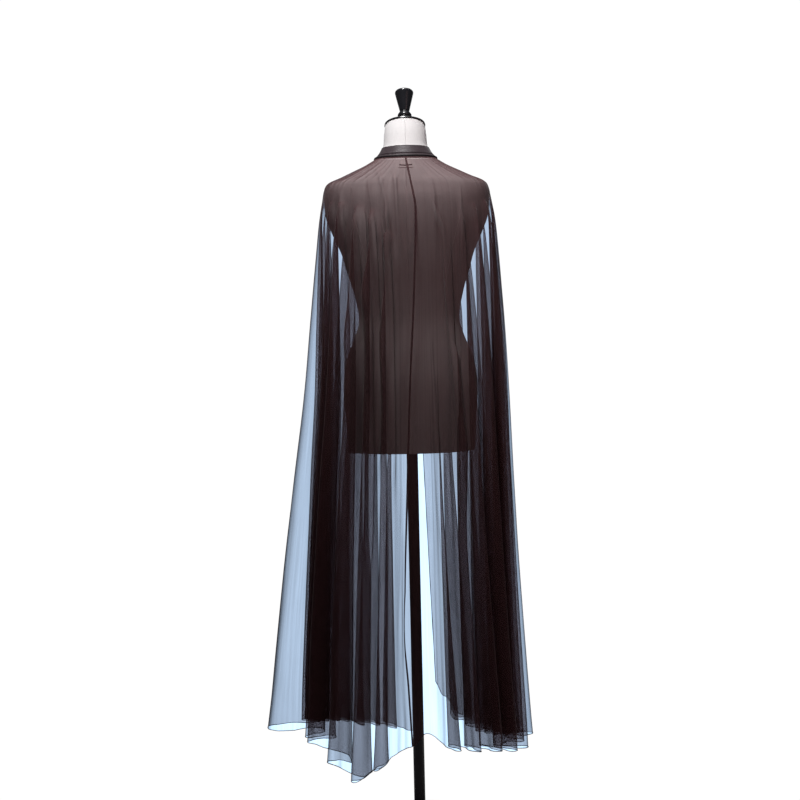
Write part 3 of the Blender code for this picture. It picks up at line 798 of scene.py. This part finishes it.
# Small waves pushed along the cloth's own normal. across is the measure along the hem.
def rippled(points, angle, across, seed):
    shape = rippleShape
    drop = dropShare(capeHeights)
    down = capeShape["shoulder"] - capeHeights
    along = across[None, :]
    push = 0 * along + 0 * down
    far, fast = shape["hemStray"]
    much, often = shape["hemSwell"]
    for length, depth, fade, drift in shape["hemWaves"]:
        wave = np.sin(2 * np.pi * along / length + drift + seed + far * np.sin(down * fast + drift))
        swell = swelling(much, along * often + drift * 3 + seed)
        push += depth * np.exp(-(capeHeights - capeShape["hem"]) / fade) * wave * swell * drop
    far, fast = shape["gatherStray"]
    much, often = shape["gatherSwell"]
    calm = between(shape["calm"], 1.0, smoothStep((shape["calmDownTo"] - capeHeights) / shape["calmFade"]))
    for length, depth, drift in shape["gathers"]:
        wave = np.sin(2 * np.pi * along / length + drift + seed + far * np.sin(down * fast + drift))
        swell = swelling(much, along * often + drift * 5 + down * 2)
        push += depth * wave * swell * smoothStep(down / shape["gatherStart"]) * calm
    push -= creaseLift(points, angle)  # the normals point inward
    return points + surfaceNormals(points) * push[..., None]


def runLength(points):
    return np.concatenate([[0.0], np.cumsum(np.linalg.norm(np.diff(points, axis=0), axis=1))])


# The points of a line at some of its lengths.
def linePoints(places, length, line):
    return np.stack([np.interp(places, length, line[:, i]) for i in range(3)], -1)


panelPlan = {
    # name: first edge, last edge, lowest and highest hem angle of its folds, node
    "frontRight": ("rightFront", "rightSide", -180, -97, "front_right_panel"),
    "backRight": ("rightSide", "backSeam", -97, 0, "back_right_panel"),
    "backLeft": ("backSeam", "leftSide", 0, 93, "back_left_panel"),
    "frontLeft": ("leftSide", "leftFront", 93, 180, "front_left_panel"),
}


def panelEdge(name):
    return backSeamLine() if name == "backSeam" else edgeLine(name)


def makePanel(name, plan, seed):
    startName, endName, lowest, highest, node = plan
    folds = [fold for fold in capeShape["folds"] if lowest < fold[1] < highest]
    angle, reach = panelColumns(panelEdge(startName), panelEdge(endName), folds)
    run = ringPoint(capeRows, angle + 0.01) - ringPoint(capeRows, angle - 0.01)
    run = np.linalg.norm(run, axis=-1) / 0.02
    angle[:, 0] += capeShape["seamGap"] / 2 / run[:, 0]
    angle[:, -1] -= capeShape["seamGap"] / 2 / run[:, -1]
    points = ringPoint(capeRows, angle) + outward(capeRows, angle) * reach[..., None]
    high = capeShape["slopeFrom"]
    below = np.clip((high - capeHeights) / (high - capeShape["hem"]), 0, 1)
    points[..., 2] -= hemDip(angle) * below**2
    across = runLength(points[-1])
    points = rippled(points, angle, across, seed)
    down = runLength(points[:, points.shape[1] // 2])
    mesh = gridMesh(name, points)
    layGrain(mesh, across[None, :] + 0 * capeHeights, 0 * across[None, :] + down[:, None])
    cloth = addObject(name + "Cloth", mesh, chiffon)
    return fitPiece(cloth, node), points


trimShape = {"sides": 6, "grainStep": 0.0008}


# A thin tube of chiffon along a line, its grain measured along it and round it.
def makeTrim(name, path, wide, thick, facing, places, material):
    sides = trimShape["sides"]
    mesh = tubeMesh(name, path, wide, thick, facing, sides)
    layGrain(mesh, np.repeat(places, sides), np.tile(np.arange(sides) * trimShape["grainStep"], len(places)))
    return fitPiece(addObject(name, mesh, material))


hemShape = {"thick": 0.00085, "uneven": 0.22, "every": 0.0045, "pull": 1400, "slowPull": 61}


# A rolled edge along a line of the cloth, a little uneven where the stitches pull it in.
def makeRoll(name, path, facing):
    length = runLength(path)
    places = np.linspace(0, length[-1], max(8, int(length[-1] / hemShape["every"])))
    pulled = np.sin(places * hemShape["pull"]) * np.sin(places * hemShape["slowPull"] + 1)
    size = hemShape["thick"] * (1 + hemShape["uneven"] * pulled)
    line, side = linePoints(places, length, path), linePoints(places, length, facing)
    return makeTrim(name, line, size, size, side, places, rolledHem)


seamShape = {"wide": 0.0021, "thick": 0.0005, "out": 0.0006}


def makeSeam(name, path, facing):
    path = path + facing * seamShape["out"]
    return makeTrim(name, path, seamShape["wide"], seamShape["thick"], facing, runLength(path), frenchSeam)


panels = {}
trims = {}
for seed, (panelName, plan) in enumerate(panelPlan.items()):
    cloth, points = makePanel(panelName, plan, seed * rippleShape["panelShift"])
    normals = surfaceNormals(points)
    panels[panelName] = (cloth, points, normals)
    trims[panelName] = [makeRoll(panelName + "Hem", points[-1], normals[-1])]
    area = sum(face.area for face in cloth.data.polygons)
    print("panel", panelName, "area", round(area, 3), "hem", round(runLength(points[-1])[-1], 3))

edgeTrims = (
    # maker, name, panel, its first column or its last
    (makeRoll, "frontRightEdge", "frontRight", 0),
    (makeRoll, "frontLeftEdge", "frontLeft", -1),
    (makeSeam, "backSeamRib", "backLeft", 0),
    (makeSeam, "rightSideRib", "backRight", 0),
    (makeSeam, "leftSideRib", "backLeft", -1),
)
for maker, trimName, panelName, column in edgeTrims:
    cloth, points, normals = panels[panelName]
    trims[panelName].append(maker(trimName, points[:, column], normals[:, column]))
print("cape panels made")

collarShape = {
    "wall": 0.0016,
    "end": math.radians(178.6),
    "lap": math.radians(13),
    "lapFrom": math.radians(-168),
    "lapSlope": math.radians(10),
    "lapRise": 0.0028,
    "around": 260,
    "rows": ((1.5880, 0.0017), (1.5755, 0.0030), (1.5635, 0.0040)),  # height, how far out
    # places down the collar from its top, on the outside from the foot up, then on the inside down
    "outside": (1.0, 0.92, 0.78, 0.774, 0.768, 0.6, 0.4, 0.2, 0.06),
    "inside": (0.06, 0.3, 0.6, 0.85, 1.0),
    "grooveAt": 0.774,
    "groove": 0.0004,
    "edgeThick": 0.0009,
    "topEdgeAt": 0.02,
    "seamWide": 0.0023,  # half its height, down to the cloth's own edge
    "stitchLong": 0.0024,
    "stitchPitch": 0.0032,
    "stitchWide": 0.00022,
    "stitchThick": 0.0002,
    "stitchOut": 0.0001,
    "stitchInset": 0.004,
}


# The collar's middle surface at a share of its height, 0 at the top and 1 at the seam.
def collarLine(share, out=0.0):
    table = np.array([(*ringValues(height), away) for height, away in collarShape["rows"]])
    row = smoothRows(table, np.array([share * 2.0]))[0]
    ring = {name: row[i] for i, name in enumerate(ringNames)}
    ring = grown(ring, row[-1] + out)
    angle = np.linspace(-math.pi - collarShape["lap"], collarShape["end"], collarShape["around"])
    rise = collarShape["lapRise"] * smoothStep((collarShape["lapFrom"] - angle) / collarShape["lapSlope"])
    facing = outward(ring, angle)
    return ringPoint(ring, angle) + facing * rise[:, None], facing


def ringValues(height):
    ring = ringAt(formRings, height)
    ring["height"] = np.full((1, 1), height)
    return [ring[name].item() for name in ringNames]


def makeCollar():
    shape = collarShape
    half = shape["wall"] / 2
    groove = {shape["grooveAt"]: shape["groove"]}
    section = [(share, half - groove.get(share, 0)) for share in shape["outside"]]
    section += [(0.0, half / 2), (0.0, -half / 2)]
    section += [(share, -half) for share in shape["inside"]]
    rows = [collarLine(share, out)[0] for share, out in section]
    rows = np.stack(rows + rows[:1])
    band = addObject("collarBand", gridMesh("collarBand", rows[::-1]), collarCloth)
    fitPiece(band, "stand_collar")
    extras = []
    thick = shape["edgeThick"]
    for name, share, out, wide in (
        ("collarTopEdge", shape["topEdgeAt"], 0.0, thick),
        ("collarSeamCord", 1.0, half, shape["seamWide"]),
    ):
        path, facing = collarLine(share, out)
        piece = addObject(name, tubeMesh(name, path, wide, thick, facing), collarEdge)
        extras.append(fitPiece(piece))
    path, facing = collarLine(shape["grooveAt"], half + shape["stitchOut"])
    length = runLength(path)
    stitches = []
    for start in np.arange(shape["stitchInset"], length[-1] - shape["stitchInset"], shape["stitchPitch"]):
        places = start + np.linspace(0, shape["stitchLong"], 4)
        line, side = linePoints(places, length, path), linePoints(places, length, facing)
        stitches.append(tubeMesh("stitch", line, shape["stitchWide"], shape["stitchThick"], side, 5))
    row = addObject("collarStitches", joined("collarStitches", stitches), thread)
    return band, extras + [fitPiece(row)]


collar, collarTrims = makeCollar()

buttonShape = {
    "radius": 0.0055,
    "high": 0.0036,
    "along": 0.45,  # how far along the lap
    "gap": 0.0006,
    "rounding": 0.0012,
    "steps": 48,
    # shares of its radius and its height, from the middle of the top
    "profile": ((0.0, 1.0), (0.5, 0.94), (0.85, 0.68), (1.0, 0.3), (0.9, 0.0), (0.0, 0.0)),
}


def makeButton():
    size, high = buttonShape["radius"], buttonShape["high"]
    corners = [(size * across, high * up) for across, up in buttonShape["profile"]]
    profile = roundedProfile(corners, buttonShape["rounding"])
    button = turned("coveredButton", profile, buttonShape["steps"], collarCloth)
    angle = -math.pi - collarShape["lap"] * buttonShape["along"]
    turns = np.linspace(-math.pi - collarShape["lap"], collarShape["end"], collarShape["around"])
    line, outs = collarLine(0.5)
    top, middle, out = (Vector(linePoints(angle, turns, each)) for each in (collarLine(0.0)[0], line, outs))
    facing = (top - middle).cross(Vector((out.y, -out.x, 0))).normalized()
    seat = middle + facing * (collarShape["wall"] / 2 + buttonShape["gap"])
    button.matrix_world = Matrix.Translation(seat) @ facing.to_track_quat("Z", "Y").to_matrix().to_4x4()
    fitPiece(button, "collar_button")


makeButton()

labelShape = {
    "wall": 0.0006,
    "out": 0.0009,
    "spread": math.radians(7.6),
    "top": 1.5575,
    "foot": 1.5350,
    "rows": 14,
    "columns": 18,
    "stitchIn": 0.002,
    "stitchAt": 0.9,  # share of the way to the side
    "stitchLong": 0.0030,
    "stitchLean": 1.2,
    "stitchOut": 0.0006,
    "stitchThick": 0.00035,
}


def formPoint(height, angle, out):
    ring = grown(ringAt(formRings, height), out)
    return ringPoint(ring, np.full((1, 1), angle))[0, 0]


def makeLabel():
    shape = labelShape
    down = np.linspace(shape["top"], shape["foot"], shape["rows"])
    turn = np.linspace(-shape["spread"], shape["spread"], shape["columns"])
    points = np.array([[formPoint(height, angle, shape["out"]) for angle in turn] for height in down])
    label = addObject("neckLabel", gridMesh("neckLabel", points), labelCloth)
    wall = label.modifiers.new("wall", "SOLIDIFY")
    wall.thickness, wall.offset = shape["wall"], 0.0
    fitPiece(label, "neck_label")
    stitches = []
    out, thick = shape["out"] + shape["stitchOut"], shape["stitchThick"]
    for height, lift in ((shape["top"] - shape["stitchIn"], -1), (shape["foot"] + shape["stitchIn"], 1)):
        for side in (-1, 1):
            line = []
            for step in np.linspace(0, shape["stitchLong"], 4):
                angle = side * (shape["spread"] * shape["stitchAt"] - step * shape["stitchLean"])
                line.append(formPoint(height + lift * step, angle, out))
            stitches.append(tubeMesh("stitch", np.array(line), thick, thick, (0, 1, 0), 5))
    corners = addObject("labelStitches", joined("labelStitches", stitches), labelThread)
    fitPiece(corners)


loopShape = {
    "wide": 0.0014,
    "radius": 0.0006,
    "out": 0.0021,
    "spread": math.radians(7.7),
    "height": 1.5420,
    "sag": 0.0015,
    "steps": 40,
    "sides": 10,
    "uneven": 0.12,
    "unevenRate": 90,
}


def makeLoop():
    shape = loopShape
    shares = np.linspace(-1, 1, shape["steps"])
    path = []
    for share in shares:
        height = shape["height"] - shape["sag"] * (1 - share * share)
        path.append(formPoint(height, shape["spread"] * share, shape["out"]))
    twist = 1 + shape["uneven"] * np.sin(shares * shape["unevenRate"])
    wide, thick = shape["wide"] * twist, shape["radius"] * twist
    tape = tubeMesh("hangerLoop", np.array(path), wide, thick, (0, 1, 0), shape["sides"])
    fitPiece(addObject("hangerLoop", tape, collarEdge), "hanger_loop")


makeLabel()
makeLoop()
print("collar, button, label and loop made")


backdrop = {"seen": (1.70, 2.50, 3.26), "strength": 3.26, "bare": 1.03, "fill": (0.06, 0.06, 0.065)}


# The backdrop's light: plain white where nothing sheer is in front of it, and a strong cool one
# through the cloth.
def backdropLight(tree, path, kind):
    strength = backdrop["strength"]
    colour = (*[c / strength for c in backdrop["seen"]], 1)
    cool = addNode(tree, kind, {"Color": colour, "Strength": strength})
    white = addNode(tree, kind, {"Color": (1.0, 1.0, 1.0, 1), "Strength": backdrop["bare"]})
    crossed = math2(tree, "GREATER_THAN", path.outputs["Transparent Depth"], 0.5)
    mixed = addNode(tree, "ShaderNodeMixShader", {0: crossed, 1: white.outputs[0], 2: cool.outputs[0]})
    return mixed.outputs[0]


def makeWorld():
    world = bpy.data.worlds.new("studio")
    world.use_nodes = True
    tree = world.node_tree
    tree.nodes.clear()
    path = addNode(tree, "ShaderNodeLightPath")
    seen = backdropLight(tree, path, "ShaderNodeBackground")
    fill = addNode(tree, "ShaderNodeBackground", {"Color": (*backdrop["fill"], 1), "Strength": 1.0})
    shown = path.outputs["Is Camera Ray"]
    mixed = addNode(tree, "ShaderNodeMixShader", {0: shown, 1: fill.outputs[0], 2: seen})
    addNode(tree, "ShaderNodeOutputWorld", {"Surface": mixed.outputs[0]})
    scene.world = world


floorShape = {
    "half": 30.0,
    "down": 0.0005,
    "paleTo": 0.13,
    "whiteFrom": 0.22,
    "dark": (0.86, 0.87, 0.88),
    "light": (0.90, 0.91, 0.92),
}


# A pale floor that runs out into the white of the backdrop.
def makeFloor():
    made, tree = newMaterial("studioFloor")
    place = addNode(tree, "ShaderNodeTexCoord").outputs["Object"]
    away = addNode(tree, "ShaderNodeVectorMath", {0: place}, operation="LENGTH").outputs["Value"]
    share = addNode(
        tree,
        "ShaderNodeMapRange",
        {"Value": away, "From Min": floorShape["paleTo"], "From Max": floorShape["whiteFrom"]},
        interpolation_type="SMOOTHSTEP",
    ).outputs[0]
    speckle = stretchedNoise(tree, place, (40, 40, 40), 0.0, 1.0, detail=5.0)
    colour = colourBetween(tree, speckle, floorShape["dark"], floorShape["light"])
    pale = addNode(tree, "ShaderNodeBsdfDiffuse", {"Color": colour})
    path = addNode(tree, "ShaderNodeLightPath")
    glow = backdropLight(tree, path, "ShaderNodeEmission")
    shown = math2(tree, "MULTIPLY", share, path.outputs["Is Camera Ray"])
    mixed = addNode(tree, "ShaderNodeMixShader", {0: shown, 1: pale.outputs[0], 2: glow})
    addNode(tree, "ShaderNodeOutputMaterial", {"Surface": mixed.outputs[0]})
    half = floorShape["half"]
    mesh = bpy.data.meshes.new("floor")
    corners = [(-half, -half, 0), (half, -half, 0), (half, half, 0), (-half, half, 0)]
    mesh.from_pydata(corners, [], [(0, 1, 2, 3)])
    floor = addObject("floor", mesh, made, smooth=False)
    floor.location.z = -floorShape["down"]


lampPlan = (
    # name, place, aim, size, power, colour
    ("overhead", (0.0, 0.3, 3.2), (0.0, 0.0, 1.4), 1.2, 6.0, (1.0, 0.98, 0.98)),
    ("behindCamera", (-2.2, 3.2, 1.8), (0.0, 0.0, 1.25), 1.4, 7.0, (1.0, 0.62, 0.58)),
    ("frontSide", (-0.8, -3.2, 2.4), (0.0, 0.0, 1.0), 2.0, 12.0, (0.96, 0.98, 1.0)),
)
# a lamp with a soft edge that lights the neck and the shoulders
poolPlan = {
    "place": (0.27, 0.85, 3.40),
    "aim": (-0.02, 0.03, 1.64),
    "cone": 25.5,
    "size": 0.25,
    "power": 290.0,
    "colour": (1.0, 0.995, 1.0),
}


def aimLamp(name, data, place, aim):
    lamp = bpy.data.objects.new(name, data)
    lamp.location = place
    lamp.rotation_euler = (Vector(aim) - Vector(place)).to_track_quat("-Z", "Y").to_euler()
    lamp.visible_camera = False
    scene.collection.objects.link(lamp)


def makeLamps():
    for name, place, aim, size, power, colour in lampPlan:
        data = bpy.data.lights.new(name, "AREA")
        data.size, data.energy, data.color = size, power, colour
        aimLamp(name, data, place, aim)
    pool = bpy.data.lights.new("shoulderPool", "SPOT")
    pool.spot_size, pool.spot_blend = math.radians(poolPlan["cone"]), 1.0
    pool.shadow_soft_size, pool.energy, pool.color = poolPlan["size"], poolPlan["power"], poolPlan["colour"]
    aimLamp("shoulderPool", pool, poolPlan["place"], poolPlan["aim"])


cameraPlan = {
    "away": 3.2,
    "height": 1.205,
    "lens": 62.64,
    "sensor": 36.0,
    "down": 3.45,
    "roll": -1.3,
    "turn": 0.453,
}


def makeCamera():
    data = bpy.data.cameras.new("view")
    data.lens, data.sensor_width = cameraPlan["lens"], cameraPlan["sensor"]
    camera = bpy.data.objects.new("view", data)
    turn = Matrix.Rotation(math.radians(180 + cameraPlan["turn"]), 4, "Z")
    tip = Matrix.Rotation(math.radians(90 - cameraPlan["down"]), 4, "X")
    roll = Matrix.Rotation(math.radians(cameraPlan["roll"]), 4, "Z")
    place = Matrix.Translation((0, cameraPlan["away"], cameraPlan["height"]))
    camera.matrix_world = place @ turn @ tip @ roll
    scene.collection.objects.link(camera)
    scene.camera = camera


makeWorld()
makeFloor()
makeLamps()
makeCamera()
scene.cycles.transparent_max_bounces = 64
scene.view_settings.view_transform = "Standard"
scene.view_settings.look = "None"
print("stage, lamps and camera made")
